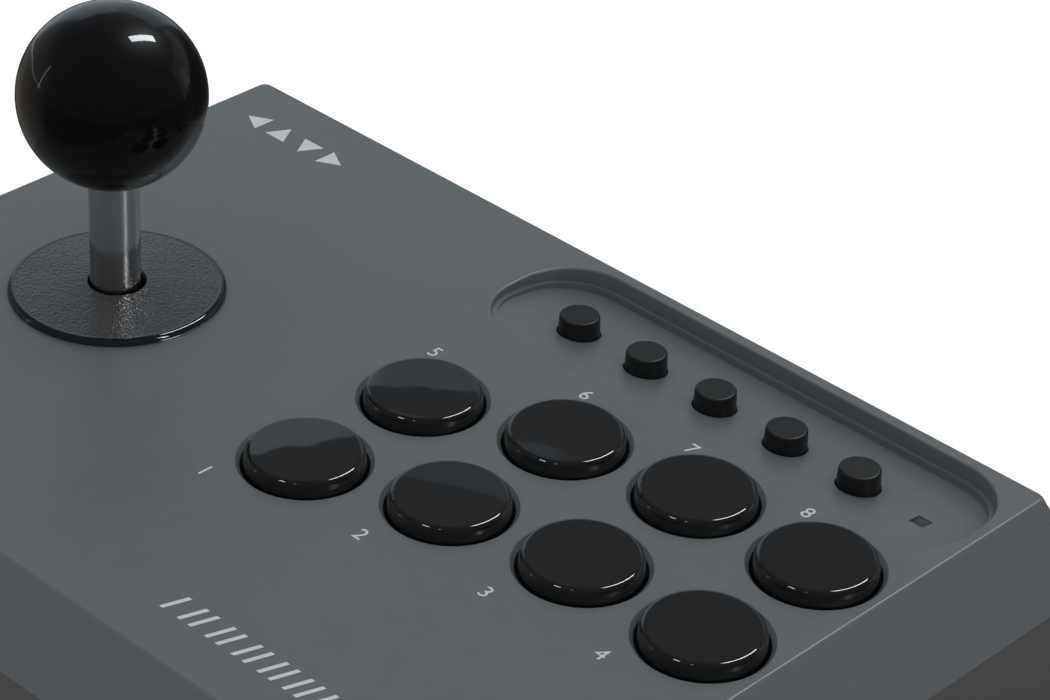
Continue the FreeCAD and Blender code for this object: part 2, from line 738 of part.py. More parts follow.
def bottom_shell():
    """Lower shell: a tray with screw posts, seats for the feet and a thick wall for the cable inlet."""
    body = new_body("bottom_shell")
    rim_height = dim.split_height - dim.split_gap
    inset = dim.split_step * 2
    base = (dim.base_length, dim.base_depth, dim.base_height)
    rim = (dim.wide_length - inset, dim.wide_depth - inset, rim_height)
    flared_block(body, base, rim)
    hollow(body, dim.panel_wall, rim_height)
    round_uprights(body, dim.base_height)
    bottom = dim.base_height.value + TOUCH
    fillet(body, "foot_crease", dim.crease_radius, lambda edge: max(v.Z for v in edge.Vertexes) < bottom)

    posts = new_sketch(body, "posts", offset=floor - ROOT)
    circles(posts, dim.post_radius, case_screw_centres())
    feature(body, "Pad", "post_pad", posts, rim_height - floor + ROOT)
    wells = new_sketch(body, "screw_wells", offset=dim.base_height)
    circles(wells, dim.case_screw_well, case_screw_centres())
    feature(body, "Pocket", "well_cut", wells, dim.case_screw_seat - dim.base_height, reverse=True)
    ways = new_sketch(body, "screw_ways", offset=dim.base_height)
    circles(ways, dim.case_screw_radius + 0.25, case_screw_centres())
    feature(body, "Pocket", "way_cut", ways, rim_height, reverse=True)
    seats = new_sketch(body, "foot_seats", offset=dim.base_height)
    circles(seats, dim.foot_radius + dim.running_gap, foot_centres())
    feature(body, "Pocket", "foot_seat_cut", seats, dim.foot_seat, reverse=True)

    block = new_sketch(body, "inlet_block", "YZ_Plane", offset=dim.cable_x)
    skin = 1.0
    outline(
        block,
        [
            (dim.inlet_block_inside, dim.inlet_block_low),
            (lower_wall(dim.inlet_block_low) - skin, dim.inlet_block_low),
            (lower_wall(dim.inlet_block_high) - skin, dim.inlet_block_high),
            (dim.inlet_block_inside, dim.inlet_block_high),
        ],
    )
    feature(body, "Pad", "inlet_block_pad", block, dim.inlet_block_half * 2, middle=True)
    pocket = new_sketch(body, "inlet_pocket", "XZ_Plane", offset=-dim.inlet_seat)
    half = dim.inlet_pocket
    rectangle(
        pocket,
        dim.cable_x - half,
        dim.cable_x + half,
        dim.cable_height - half,
        dim.cable_height + half,
        2.5,
    )
    feature(body, "Pocket", "inlet_pocket_cut", pocket, 12)
    way = new_sketch(body, "inlet_way", "XZ_Plane", offset=-dim.inlet_seat)
    circle(way, dim.inlet_hole, dim.cable_x, dim.cable_height)
    feature(body, "Pocket", "inlet_way_cut", way, 12, reverse=True)
    return node(body, "bottom_shell")


def foot_centres():
    return [(dim.foot_x * i, dim.foot_y * j) for i in SIGNS for j in SIGNS]


def rubber_feet():
    """Four glued feet, a little narrower at the table."""
    seat = dim.base_height + dim.foot_seat
    feet = [
        cone(f"foot_{i}", dim.foot_face, dim.foot_radius, dim.foot_bottom, seat, x, y)
        for i, (x, y) in enumerate(foot_centres(), start=1)
    ]
    return node(group("rubber_feet", feet), "rubber_feet")


def screws(name, centres, radius, head, seat, tip):
    """Pan-head screws that go up: each head lies under its seat."""
    made = []
    for i, (x, y) in enumerate(centres, start=1):
        bottom = as_size(seat) - dim.screw_head_thick
        whole = cylinder(f"{name}_{i}_head", head, bottom, seat, x, y)
        shank = cylinder(f"{name}_{i}_shank", radius, as_size(seat) - 0.2, tip, x, y)
        slot = box(
            f"{name}_{i}_slot",
            (as_size(x) - head, as_size(y) - 0.4, bottom - 0.1),
            (as_size(x) + head, as_size(y) + 0.4, bottom + 0.6),
        )
        made.append(cut(f"{name}_{i}", fuse(f"{name}_{i}_whole", [whole, shank]), [slot]))
    return made


def cable_gland():
    """Rubber inlet with a bore for the cable, gripped in the back wall by its two collars."""
    long = dim.inlet_outside - dim.inlet_inside
    seat = dim.inlet_seat - dim.inlet_inside
    inner = dim.inlet_block_inside - dim.inlet_inside - dim.running_gap
    gap = dim.running_gap
    thick = dim.inlet_collar_thick
    collar = dim.inlet_collar
    body = turned(
        "cable_gland",
        [
            (dim.cable_bore, 0),
            (collar, 0, 0.6),
            (collar, inner),
            (dim.inlet_hole - gap, inner),
            (dim.inlet_hole - gap, seat + gap),
            (collar, seat + gap),
            (collar, seat + gap + thick, 0.6),
            (dim.inlet_nose + 0.6, seat + gap + thick),
            (dim.inlet_nose, long, 0.8),
            (dim.cable_bore, long),
        ],
    )
    place(body, dim.cable_x, dim.inlet_inside, dim.cable_height, axis=(1, 0, 0), angle=-90)
    return node(body, "cable_gland")


# ---------------------------------------------------------------- the buttons


def button_cap(i, x, y):
    """Round cap: flat top with a rounded edge, sides that widen downwards, a flange and a stem."""
    top = dim.top_height + dim.cap_rise
    flange_top = ceiling - dim.collar_height - dim.running_gap
    flange_low = flange_top - dim.cap_flange_height
    stem_low = dim.main_board_top + dim.dome_sheet + dim.dome_rise + dim.running_gap
    body = turned(
        f"button_{i}",
        [
            (0, stem_low),
            (dim.stem_radius, stem_low),
            (dim.stem_radius, top - dim.cap_wall),
            (dim.cap_top - dim.cap_wall, top - dim.cap_wall, 0.6),
            (dim.cap_skirt - dim.cap_wall, flange_low),
            (dim.cap_flange, flange_low),
            (dim.cap_flange, flange_top),
            (dim.cap_skirt, flange_top),
            (dim.cap_waist, dim.top_height - 0.3, 3.0),
            (dim.cap_top, top, dim.cap_edge),
            (0, top),
        ],
    )
    return node(place(body, x, y), f"button_{i}")


def small_button(i, x, y):
    """Small rubber button with a flange and a stem."""
    top = dim.small_top_height
    low = dim.small_flange_top - 0.8
    stem_low = dim.small_board_top + dim.dome_sheet + dim.small_dome_rise + dim.running_gap
    body = turned(
        f"small_button_{i}",
        [
            (0, stem_low),
            (dim.small_stem, stem_low),
            (dim.small_stem, low),
            (dim.small_flange, low),
            (dim.small_flange, dim.small_flange_top),
            (dim.small_base, dim.small_flange_top),
            (dim.small_base, dim.small_flange_top + 2.6),
            (dim.small_crown, top, dim.small_edge),
            (0, top),
        ],
    )
    return node(place(body, x, y), f"small_button_{i}")


def dome_sheet(name, corners, low, centres, bosses, foot, crown, rise):
    """A rubber sheet with a hollow dome under each button, cut away round the bosses."""
    left, right, front, back = corners
    top = low + dim.dome_sheet
    crest = top + rise
    skin = dim.dome_skin
    gap = dim.board_boss + dim.board_boss_gap
    sheet = [box(name + "_sheet", (left, front, low), (right, back, top))]
    hollows = []
    for i, (x, y) in enumerate(centres, start=1):
        sheet.append(cone(f"{name}_dome_{i}", foot, crown, top - 0.1, crest, x, y))
        inner = cone(f"{name}_hollow_{i}", foot - skin, crown - skin, low - 0.1, crest - skin, x, y)
        hollows.append(inner)
    for i, (x, y) in enumerate(bosses, start=1):
        hollows.append(cylinder(f"{name}_gap_{i}", gap, low - 1, top + 1, x, y))
    return node(cut(name, fuse(name + "_solid", sheet), hollows), name)


def board(name, low, high, holes, hole_radius):
    """A printed circuit board with round screw holes."""
    slab = box(name + "_slab", low, high)
    tools = [
        cylinder(f"{name}_hole_{i}", hole_radius, low[2] - 1, high[2] + 1, x, y)
        for i, (x, y) in enumerate(holes, start=1)
    ]
    return node(cut(name, slab, tools), name)


def boards_and_domes():
    """Both boards, their dome sheets and what is soldered to them."""
    main_low = dim.main_board_top - dim.board_thick
    small_low = dim.small_board_top - dim.board_thick
    hole = dim.board_screw + 0.3
    board(
        "main_board",
        (dim.main_board_left, dim.main_board_front, main_low),
        (dim.main_board_right, dim.main_board_back, dim.main_board_top),
        MAIN_BOARD_BOSSES,
        hole,
    )
    board(
        "small_board",
        (dim.small_board_left, dim.small_board_front, small_low),
        (dim.small_board_right, dim.small_board_back, dim.small_board_top),
        small_board_bosses(),
        hole,
    )
    margin = 1.0
    dome_sheet(
        "button_domes",
        (
            dim.main_board_left + margin,
            dim.main_board_right - margin * 4,
            dim.main_board_front + margin,
            dim.main_board_back - margin,
        ),
        dim.main_board_top,
        button_centres(),
        MAIN_BOARD_BOSSES,
        dim.dome_foot,
        dim.dome_crown,
        dim.dome_rise,
    )
    dome_sheet(
        "small_button_domes",
        (
            dim.small_board_left + margin,
            dim.window_x - 5,
            dim.small_board_front + margin,
            dim.small_board_back - margin,
        ),
        dim.small_board_top,
        small_button_centres(),
        small_board_bosses(),
        dim.small_dome_foot,
        dim.small_dome_crown,
        dim.small_dome_rise,
    )
    half = dim.chip_side / 2
    chip = box(
        "controller_chip",
        (dim.chip_x - half, dim.chip_y - half, main_low - dim.chip_thick),
        (dim.chip_x + half, dim.chip_y + half, main_low),
    )
    node(chip, "controller_chip")
    led_half = 1.4
    led = box(
        "indicator_led",
        (dim.window_x - led_half, dim.window_y - led_half, dim.small_board_top),
        (dim.window_x + led_half, dim.window_y + led_half, dim.small_board_top + 1.4),
    )
    node(led, "indicator_led")
    half = dim.window_side / 2 - 0.05
    pipe = box(
        "window_pipe",
        (dim.window_x - half, dim.window_y - half, dim.small_board_top + 1.8),
        (dim.window_x + half, dim.window_y + half, dim.window_height),
    )
    wide = half + 1.2
    flange = box(
        "window_flange",
        (dim.window_x - wide, dim.window_y - wide, dim.small_flange_top - 0.8),
        (dim.window_x + wide, dim.window_y + wide, dim.small_flange_top),
    )
    node(fuse("indicator_window", [pipe, flange]), "indicator_window")
    main = screws(
        "main_board_screw",
        MAIN_BOARD_BOSSES,
        dim.board_screw,
        dim.board_screw_head,
        main_low,
        dim.main_board_top + dim.board_screw_reach,
    )
    small = screws(
        "small_board_screw",
        small_board_bosses(),
        dim.board_screw,
        dim.board_screw_head,
        small_low,
        dim.small_board_top + dim.small_screw_reach,
    )
    node(group("board_screws", main + small), "board_screws")


def ribbon():
    """Flat ribbon from under the main board to under the small buttons' board."""
    body = new_body("board_ribbon")
    sketch = new_sketch(body, "board_ribbon_side", "YZ_Plane", offset=dim.ribbon_x)
    low = dim.main_board_top - dim.board_thick
    high = dim.small_board_top - dim.board_thick
    thick = dim.ribbon_thick
    near = dim.main_board_back
    far = dim.small_board_front
    outline(
        sketch,
        [
            (near - dim.ribbon_overlap, low),
            (near - dim.ribbon_overlap, low - thick),
            (near + 2, low - thick, 1.6),
            (far - 2, high - thick, 1.2),
            (far + dim.ribbon_overlap, high - thick),
            (far + dim.ribbon_overlap, high),
            (far - 2.2, high, 1.6),
            (near + 1.8, low, 1.2),
        ],
    )
    feature(body, "Pad", "board_ribbon_pad", sketch, dim.ribbon_width, middle=True)
    return node(body, "board_ribbon")


# ---------------------------------------------------------------- the lever


def lever_box(name, x0, x1, y0, y1, low, high):
    """A block whose plan is measured from the lever axis."""
    return box(name, (dim.lever_x + x0, dim.lever_y + y0, low), (dim.lever_x + x1, dim.lever_y + y1, high))


def lever_post(name, x, y, side, low, high):
    """A square post, placed from the lever axis."""
    half = side / 2
    return lever_box(name, x - half, x + half, y - half, y + half, low, high)


def lever_bar(name, radius, low, high):
    """A round bar on the lever axis."""
    return cylinder(name, radius, low, high, dim.lever_x, dim.lever_y)


def lever_housing():
    """Block with the pivot ball's socket, a screwed flange, four legs and rests for the switch board."""
    half = dim.housing_half
    wide = dim.flange_half
    leg = dim.leg_side
    rest = 4.0
    solid = [
        lever_box("housing_block", -half, half, -half, half, dim.housing_bottom, dim.housing_top),
        lever_box(
            "housing_flange", -wide, wide, -wide, wide, dim.housing_top - dim.flange_thick, dim.housing_top
        ),
    ]
    root = dim.housing_bottom + 1
    legs_low = dim.gate_bottom + dim.gate_thick
    corner = half - leg / 2
    for i in SIGNS:
        for j in SIGNS:
            name = f"housing_leg_{len(solid)}"
            solid.append(lever_post(name, corner * i, corner * j, leg, legs_low, root))
    board_top = dim.switch_board_height + dim.board_thick
    edge = dim.switch_board_half - rest / 2
    for i, j in ((1, 0), (-1, 0), (0, 1), (0, -1)):
        name = f"housing_rest_{len(solid)}"
        solid.append(lever_post(name, edge * i, edge * j, rest, board_top, root))
    socket = dim.pivot_radius + dim.socket_gap
    throat_rise = math.sqrt(socket.value**2 - dim.throat_radius.value**2)
    throat = dim.pivot_height + Size(
        throat_rise, f"sqrt(({socket.text}) ^ 2 - (dim.throat_radius) ^ 2)"
    )
    top = dim.housing_top
    x, y = dim.lever_x, dim.lever_y
    tools = [
        sphere("housing_socket", socket, x, y, dim.pivot_height),
        lever_bar("housing_bore", socket, dim.housing_bottom - 1, dim.pivot_height),
        cone("housing_mouth", dim.throat_radius, dim.mouth_radius, throat, top + 0.01, x, y),
    ]
    hole = dim.lever_screw_radius + 0.3
    for i, (x, y) in enumerate(lever_screw_centres(), start=1):
        tools.append(cylinder(f"housing_hole_{i}", hole, top - 5, top + 1, x, y))
    return node(cut("lever_housing", fuse("lever_housing_solid", solid), tools), "lever_housing")


def restrictor_gate():
    """Plate with a square opening that stops the actuator."""
    body = new_body("restrictor_gate")
    sketch = new_sketch(body, "gate_outline", offset=dim.gate_bottom)
    centred(sketch, dim.gate_half * 2, dim.gate_half * 2, 2.0)
    centred(sketch, dim.gate_opening * 2, dim.gate_opening * 2, dim.gate_corner)
    feature(body, "Pad", "gate_pad", sketch, dim.gate_thick)
    return node(place(body, dim.lever_x, dim.lever_y), "restrictor_gate")


def switch_board():
    """Cross-shaped board that carries the four microswitches."""
    reach = dim.switch_board_half
    arm = dim.switch_board_arm
    low = dim.switch_board_height
    high = low + dim.board_thick
    cross = fuse(
        "switch_board_cross",
        [
            lever_box("switch_board_long", -reach, reach, -arm, arm, low, high),
            lever_box("switch_board_wide", -arm, arm, -reach, reach, low, high),
        ],
    )
    hole = lever_bar("switch_board_middle", dim.switch_board_hole, low - 1, high + 1)
    return node(cut("switch_board", cross, [hole]), "switch_board")


def microswitches():
    """A switch on each side of the lever, with its plunger facing the actuator."""
    sides = (("right", 0), ("back", 90), ("left", 180), ("front", 270))
    face = dim.switch_distance
    high = dim.switch_board_height
    low = high - dim.switch_height
    middle = low + 2.3
    half_length = dim.switch_length / 2
    half_width = dim.plunger_width / 2
    half_height = dim.plunger_height / 2
    gap = 0.1
    for side, angle in sides:
        name = f"microswitch_{side}"
        case = box(name + "_case", (face, -half_length, low), (face + dim.switch_depth, half_length, high))
        slot_deep = dim.plunger_inside + dim.plunger_travel + gap
        slot = box(
            name + "_slot",
            (face - 1, -half_width - gap, middle - half_height - gap),
            (face + slot_deep, half_width + gap, middle + half_height + gap),
        )
        body = cut(name, case, [slot])
        place(body, dim.lever_x, dim.lever_y, 0, angle=angle)
        node(body, name)
        plunger = box(
            f"plunger_{side}_bar",
            (dim.plunger_tip, -half_width, middle - half_height),
            (face + dim.plunger_inside, half_width, middle + half_height),
        )
        turned_bar = group(f"plunger_{side}", [plunger])
        place(turned_bar, dim.lever_x, dim.lever_y, 0, angle=angle)
        node(turned_bar, f"plunger_{side}")


def shaft():
    """Steel shaft: thick where it shows, thin through the pivot, with a clip groove at its foot."""
    clip_top = dim.gate_bottom - dim.running_gap
    clip_low = clip_top - dim.clip_thick
    thin = dim.spindle_radius
    thick = dim.shaft_radius
    body = turned(
        "shaft",
        [
            (0, dim.shaft_foot),
            (thin, dim.shaft_foot),
            (thin, clip_low - 0.05),
            (dim.clip_groove, clip_low - 0.05),
            (dim.clip_groove, clip_top + 0.05),
            (thin, clip_top + 0.05),
            (thin, dim.shoulder_height),
            (thick, dim.shoulder_height + 1),
            (thick, dim.neck_height),
            (thin, dim.neck_height),
            (thin, dim.stud_height),
            (0, dim.stud_height),
        ],
    )
    return node(place(body, dim.lever_x, dim.lever_y), "shaft")


def knob():
    """Ball knob, bored for the shaft and its stud."""
    gap = dim.press_gap
    ball = sphere("knob_ball", dim.knob_radius, dim.lever_x, dim.lever_y, dim.knob_height)
    under = dim.knob_height - dim.knob_radius - 1
    tools = [
        lever_bar("knob_mouth", dim.shaft_radius + gap, under, dim.neck_height + gap),
        lever_bar("knob_bore", dim.spindle_radius + gap, dim.neck_height, dim.stud_height + gap),
    ]
    return node(cut("ball_knob", ball, tools), "ball_knob")


def lever_small_pieces():
    """What is threaded on the shaft: pivot ball, spring, its washer, actuator and retaining clip."""
    thin = dim.spindle_radius + dim.press_gap
    pivot = sphere("pivot_ball_round", dim.pivot_radius, dim.lever_x, dim.lever_y, dim.pivot_height)
    bore = lever_bar("pivot_bore", thin, dim.housing_bottom - 2, dim.shoulder_height)
    node(cut("pivot_ball", pivot, [bore]), "pivot_ball")

    washer = lever_bar(
        "retainer_disc",
        dim.retainer_radius,
        dim.actuator_top + dim.press_gap,
        dim.actuator_top + dim.press_gap + dim.retainer_thick,
    )
    bore = lever_bar("retainer_bore", thin, dim.actuator_top - 1, dim.actuator_top + 3)
    node(cut("spring_washer", washer, [bore]), "spring_washer")

    sleeve = lever_bar("actuator_sleeve", dim.actuator_radius, dim.gate_bottom, dim.actuator_top)
    bore = lever_bar("actuator_bore", thin, dim.gate_bottom - 1, dim.actuator_top + 1)
    node(cut("actuator", sleeve, [bore]), "actuator")

    clip_top = dim.gate_bottom - dim.running_gap
    clip_low = clip_top - dim.clip_thick
    disc = lever_bar("clip_disc", dim.clip_radius, clip_low, clip_top)
    grip = dim.clip_groove + dim.press_gap
    bore = lever_bar("clip_bore", grip, clip_low - 1, clip_top + 1)
    slit = grip * 0.8
    mouth = lever_box("clip_mouth", 0, dim.clip_radius + 1, -slit, slit, clip_low - 1, clip_top + 1)
    node(cut("shaft_clip", disc, [bore, mouth]), "shaft_clip")


def centring_spring():
    """Conical spring between the housing and its washer, as a wire swept along a helix."""
    wire = dim.spring_wire.value
    low = (dim.actuator_top + dim.press_gap + dim.retainer_thick).value + wire / 2 + 0.1
    high = dim.housing_bottom.value - wire / 2 - 0.1
    small = dim.spring_bottom_radius.value
    large = dim.spring_top_radius.value
    slope = math.degrees(math.atan((large - small) / (high - low)))
    path = Part.makeHelix(dim.spring_pitch.value, high - low, small, slope)
    start = FreeCAD.Vector(small, 0, 0)
    section = Part.Wire(Part.makeCircle(wire / 2, start, FreeCAD.Vector(0, 1, 0)))
    pipe = Part.Wire(path).makePipeShell([section], True, True)
    spring = doc.addObject("Part::Feature", "centring_spring")
    spring.Shape = pipe
    place(spring, dim.lever_x, dim.lever_y, low)
    return node(spring, "centring_spring")


def dust_washers():
    """The disc that hides the hole in the flat top, and the wider-bored washer under it."""
    low = dim.top_height + dim.washer_lift
    high = low + dim.washer_thick
    body = turned(
        "dust_washer",
        [
            (dim.washer_bore, low),
            (dim.washer_radius, low),
            (dim.washer_radius, high, dim.washer_edge),
            (dim.washer_bore, high, 0.25),
        ],
    )
    play = dim.washer_play
    node(place(body, dim.lever_x + play, dim.lever_y + play), "dust_washer")
    low = dim.under_washer_height
    high = low + dim.under_washer_thick
    disc = lever_bar("under_washer_disc", dim.under_washer_radius, low, high)
    bore = lever_bar("under_washer_middle", dim.under_washer_bore, low - 1, high + 1)
    node(cut("under_washer", disc, [bore]), "under_washer")


def lever_cable():
    """Bundle of wires from the switch board to the main board, with a connector at each end."""
    board_top = dim.switch_board_height + dim.board_thick
    edge = dim.lever_x + dim.switch_board_half
    low_y = dim.plug_y - dim.plug_width / 2
    high_y = dim.plug_y + dim.plug_width / 2
    plug = box(
        "lever_connector",
        (edge - dim.plug_length, low_y, board_top),
        (edge, high_y, board_top + dim.plug_height),
    )
    node(plug, "lever_connector")
    board_low = dim.main_board_top - dim.board_thick
    left = dim.main_board_left
    socket = box(
        "board_connector",
        (left, low_y, board_low - dim.plug_height),
        (left + dim.plug_length, high_y, board_low),
    )
    node(socket, "board_connector")
    start = FreeCAD.Vector(edge.value, dim.plug_y.value, (board_top + dim.plug_height / 2).value)
    end = FreeCAD.Vector(left.value, dim.plug_y.value, (board_low - dim.plug_height / 2).value)
    span = end.x - start.x
    route = [
        start,
        start + FreeCAD.Vector(span * 0.36, 0, 0),
        end - FreeCAD.Vector(span * 0.36, 0, 0),
        end,
    ]
    spine = rounded_path(route)
    ring = Part.makeCircle(dim.harness_radius.value, start, FreeCAD.Vector(1, 0, 0))
    bundle = doc.addObject("Part::Feature", "lever_wires")
    bundle.Shape = spine.makePipeShell([Part.Wire(ring)], True, True)
    place(bundle)
    node(bundle, "lever_wires")


def rounded_path(route):
    """Straight runs through the points, joined by tangent arcs as large as the runs allow."""
    edges = []
    last = route[0]
    for before, corner, after in zip(route, route[1:], route[2:]):
        back = before - corner
        ahead = after - corner
        run = 0.45 * min(back.Length, ahead.Length)
        back.normalize()
        ahead.normalize()
        half_turn = (math.pi - back.getAngle(ahead)) / 2
        radius = run / math.tan(half_turn)
        inwards = (back + ahead).normalize()
        centre = corner + inwards * (radius / math.cos(half_turn))
        middle = centre - inwards * radius
        entry = corner + back * run
        leave = corner + ahead * run
        edges.append(Part.LineSegment(last, entry).toShape())
        edges.append(Part.Arc(entry, middle, leave).toShape())
        last = leave
    edges.append(Part.LineSegment(last, route[-1]).toShape())
    return Part.Wire(edges)


# ---------------------------------------------------------------- the whole


def build():
    top_shell()
    bottom_shell()
    rubber_feet()
    case = screws(
        "case_screw",
        case_screw_centres(),
        dim.case_screw_radius,
        dim.case_screw_head,
        dim.case_screw_seat,
        dim.case_screw_reach,
    )
    node(group("case_screws", case), "case_screws")
    cable_gland()
    for i, (x, y) in enumerate(button_centres(), start=1):
        button_cap(i, x, y)
    for i, (x, y) in enumerate(small_button_centres(), start=1):
        small_button(i, x, y)
    boards_and_domes()
    ribbon()
    lever_housing()
    lever = screws(
        "lever_screw",
        lever_screw_centres(),
        dim.lever_screw_radius,
        dim.lever_screw_head,
        dim.housing_top - dim.flange_thick,
        dim.lever_screw_reach,
    )
    node(group("lever_screws", lever), "lever_screws")
    restrictor_gate()
    switch_board()
    microswitches()
    shaft()
    knob()
    lever_small_pieces()
    centring_spring()
    dust_washers()
    lever_cable()
    doc.recompute()


def check_and_write():
    """Stops on any failed object or bad shape, then writes each sub-part to its own file."""
    failed = [thing.Label for thing in doc.Objects if {"Invalid", "Error"} & set(thing.State)]
    if failed:
        raise RuntimeError(f"these objects failed: {failed}")
    os.makedirs(OUT_DIR, exist_ok=True)
    for thing in sub_parts:
        shape = thing.Shape
        if shape.isNull() or not shape.isValid() or not shape.Solids:
            raise RuntimeError(f"{thing.Label} has no valid solid")
        shape.exportStep(os.path.join(OUT_DIR, thing.Label + ".step"))


build()
check_and_write()
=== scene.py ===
"""Looks of the arcade joystick panel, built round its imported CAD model. Metres, +Z up.

The case is satin moulded plastic, the knob and the main buttons are polished black plastic, the dust washer
has a leather grain, and the small buttons are rubber. The marks on the panel are plain ones: numbers at the
buttons, four arrows behind the lever and a row of slanted bars at the front.
"""

import math

import bmesh
import bpy
from mathutils import Matrix, Vector, noise


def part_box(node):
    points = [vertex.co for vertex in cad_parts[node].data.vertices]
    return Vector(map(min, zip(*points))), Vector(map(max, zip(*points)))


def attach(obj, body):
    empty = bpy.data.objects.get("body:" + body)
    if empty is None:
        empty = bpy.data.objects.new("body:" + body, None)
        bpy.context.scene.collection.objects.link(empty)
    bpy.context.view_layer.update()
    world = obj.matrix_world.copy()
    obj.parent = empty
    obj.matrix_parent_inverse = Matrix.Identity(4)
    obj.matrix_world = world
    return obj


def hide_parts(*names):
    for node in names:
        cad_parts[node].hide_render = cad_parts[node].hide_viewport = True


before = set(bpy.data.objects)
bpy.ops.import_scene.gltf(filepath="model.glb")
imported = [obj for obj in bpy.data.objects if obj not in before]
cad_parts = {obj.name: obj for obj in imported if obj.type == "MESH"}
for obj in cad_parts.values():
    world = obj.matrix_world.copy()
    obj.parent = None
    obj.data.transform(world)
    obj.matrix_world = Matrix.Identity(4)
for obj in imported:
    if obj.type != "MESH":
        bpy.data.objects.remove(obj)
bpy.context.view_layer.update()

MM = 0.001


# ---------------------------------------------------------------- places, from the frame


def middle(name):
    """Centre of a CAD node's box."""
    low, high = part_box(name)
    return (low + high) / 2


def top_of(name):
    """Highest point of a CAD node."""
    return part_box(name)[1].z


PANEL_TOP = top_of("top_shell")
LEVER = middle("dust_washer")
MAIN_BUTTONS = [f"button_{number}" for number in range(1, 9)]
SMALL_BUTTONS = [f"small_button_{number}" for number in range(1, 6)]
SIDES = ("right", "back", "left", "front")
WASHER_BORE = 5.35 * MM
WASHER_CROWN = 0.7 * MM  # how far the dust washer rises from its rim to its bore
GRAIN_RADIUS = 18.9 * MM  # the dust washer's grained field, inside its smooth rim


# ---------------------------------------------------------------- node trees


class Tree:
    """A node tree under construction."""

    def __init__(self, tree):
        self.tree = tree

    def add(self, kind, inputs=None, **settings):
        """Adds a node, sets its properties, then fills or links its inputs."""
        made = self.tree.nodes.new("ShaderNode" + kind)
        for name, value in settings.items():
            setattr(made, name, value)
        for name, value in (inputs or {}).items():
            self.feed(made.inputs[name], value)
        return made

    def feed(self, socket, value):
        """Links a socket to an output, or gives it a plain value."""
        if isinstance(value, bpy.types.NodeSocket):
            self.tree.links.new(value, socket)
        else:
            socket.default_value = value

    def math(self, operation, first, second=0.0, third=0.0):
        """One step of arithmetic."""
        inputs = {0: first, 1: second, 2: third}
        return self.add("Math", inputs, operation=operation).outputs[0]

    def smooth(self, value, low, high, start=0.0, end=1.0):
        """Goes smoothly from start to end as value goes from low to high."""
        inputs = {"Value": value, "From Min": low, "From Max": high, "To Min": start, "To Max": end}
        return self.add("MapRange", inputs, interpolation_type="SMOOTHSTEP").outputs[0]

    def mix(self, share, first, second):
        """A colour between two others."""
        made = self.add("Mix", {"Factor": share}, data_type="RGBA")
        self.feed(made.inputs["A"], first)
        self.feed(made.inputs["B"], second)
        return made.outputs["Result"]

    def place(self):
        """The point on the piece, in the piece's own frame at rest."""
        return self.add("TexCoord").outputs["Object"]

    def clouds(self, vector, size, detail=3.0, roughness=0.5, distortion=0.0):
        """Noise whose blotches are about as large as size, from 0 to 1."""
        inputs = {
            "Vector": vector,
            "Scale": 1 / size,
            "Detail": detail,
            "Roughness": roughness,
            "Distortion": distortion,
        }
        return self.add("TexNoise", inputs).outputs["Fac"]

    def bump(self, height, depth, normal=None):
        """Surface relief: height runs from 0 to 1, and depth is in metres."""
        inputs = {"Height": height, "Distance": depth}
        if normal is not None:
            inputs["Normal"] = normal
        return self.add("Bump", inputs).outputs["Normal"]


class Surface(Tree):
    """A material with one Principled shader."""

    def __init__(self, name):
        self.material = bpy.data.materials.new(name)
        self.material.use_nodes = True
        super().__init__(self.material.node_tree)
        self.shader = self.tree.nodes["Principled BSDF"]

    def set(self, **inputs):
        """Fills or links the shader's inputs; an underscore stands for a space."""
        for name, value in inputs.items():
            self.feed(self.shader.inputs[name.replace("_", " ")], value)


def rgb(red, green, blue):
    """A colour in linear light."""
    return (red, green, blue, 1.0)


def shade(color, factor):
    """The same colour, lighter or darker."""
    return rgb(*[channel * factor for channel in color[:3]])


# ---------------------------------------------------------------- materials


def moulded(name, color, roughness, grain=0.25 * MM):
    """Moulded plastic with a fine spark-eroded grain and a slightly uneven tone."""
    grain_depth = 0.006 * MM
    variety = 0.06
    made = Surface(name)
    place = made.place()
    fine = made.clouds(place, grain, detail=2.0)
    patches = made.clouds(place, 22 * MM, detail=4.0, roughness=0.6)
    rubbed = made.clouds(place, 3.5 * MM, detail=5.0, roughness=0.65)
    tone = made.math("MULTIPLY_ADD", rubbed, 0.35, made.math("MULTIPLY", patches, 0.65))
    made.set(
        Base_Color=made.mix(tone, shade(color, 1 - variety), shade(color, 1 + variety)),
        Roughness=made.smooth(rubbed, 0.25, 0.75, roughness - 0.04, roughness + 0.05),
        Normal=made.bump(fine, grain_depth),
    )
    return made.material


def gloss_black(name, color, roughness, haze, skin):
    """Polished black plastic: a clear skin over a hazy body, with a few faint handling marks."""
    made = Surface(name)
    place = made.place()
    smear = made.clouds(place, 6 * MM, detail=6.0, roughness=0.6, distortion=0.8)
    slow = made.clouds(place, 9 * MM, detail=1.0)
    relief = made.bump(slow, 0.001 * MM)
    made.set(
        Base_Color=made.mix(smear, shade(color, 0.8), shade(color, 1.25)),
        Roughness=made.smooth(smear, 0.3, 0.7, 0.32, 0.4),
        Specular_IOR_Level=haze,
        Coat_Weight=1.0,
        Coat_Roughness=roughness,
        Coat_IOR=skin,
        Normal=relief,
        Coat_Normal=relief,
    )
    return made.material


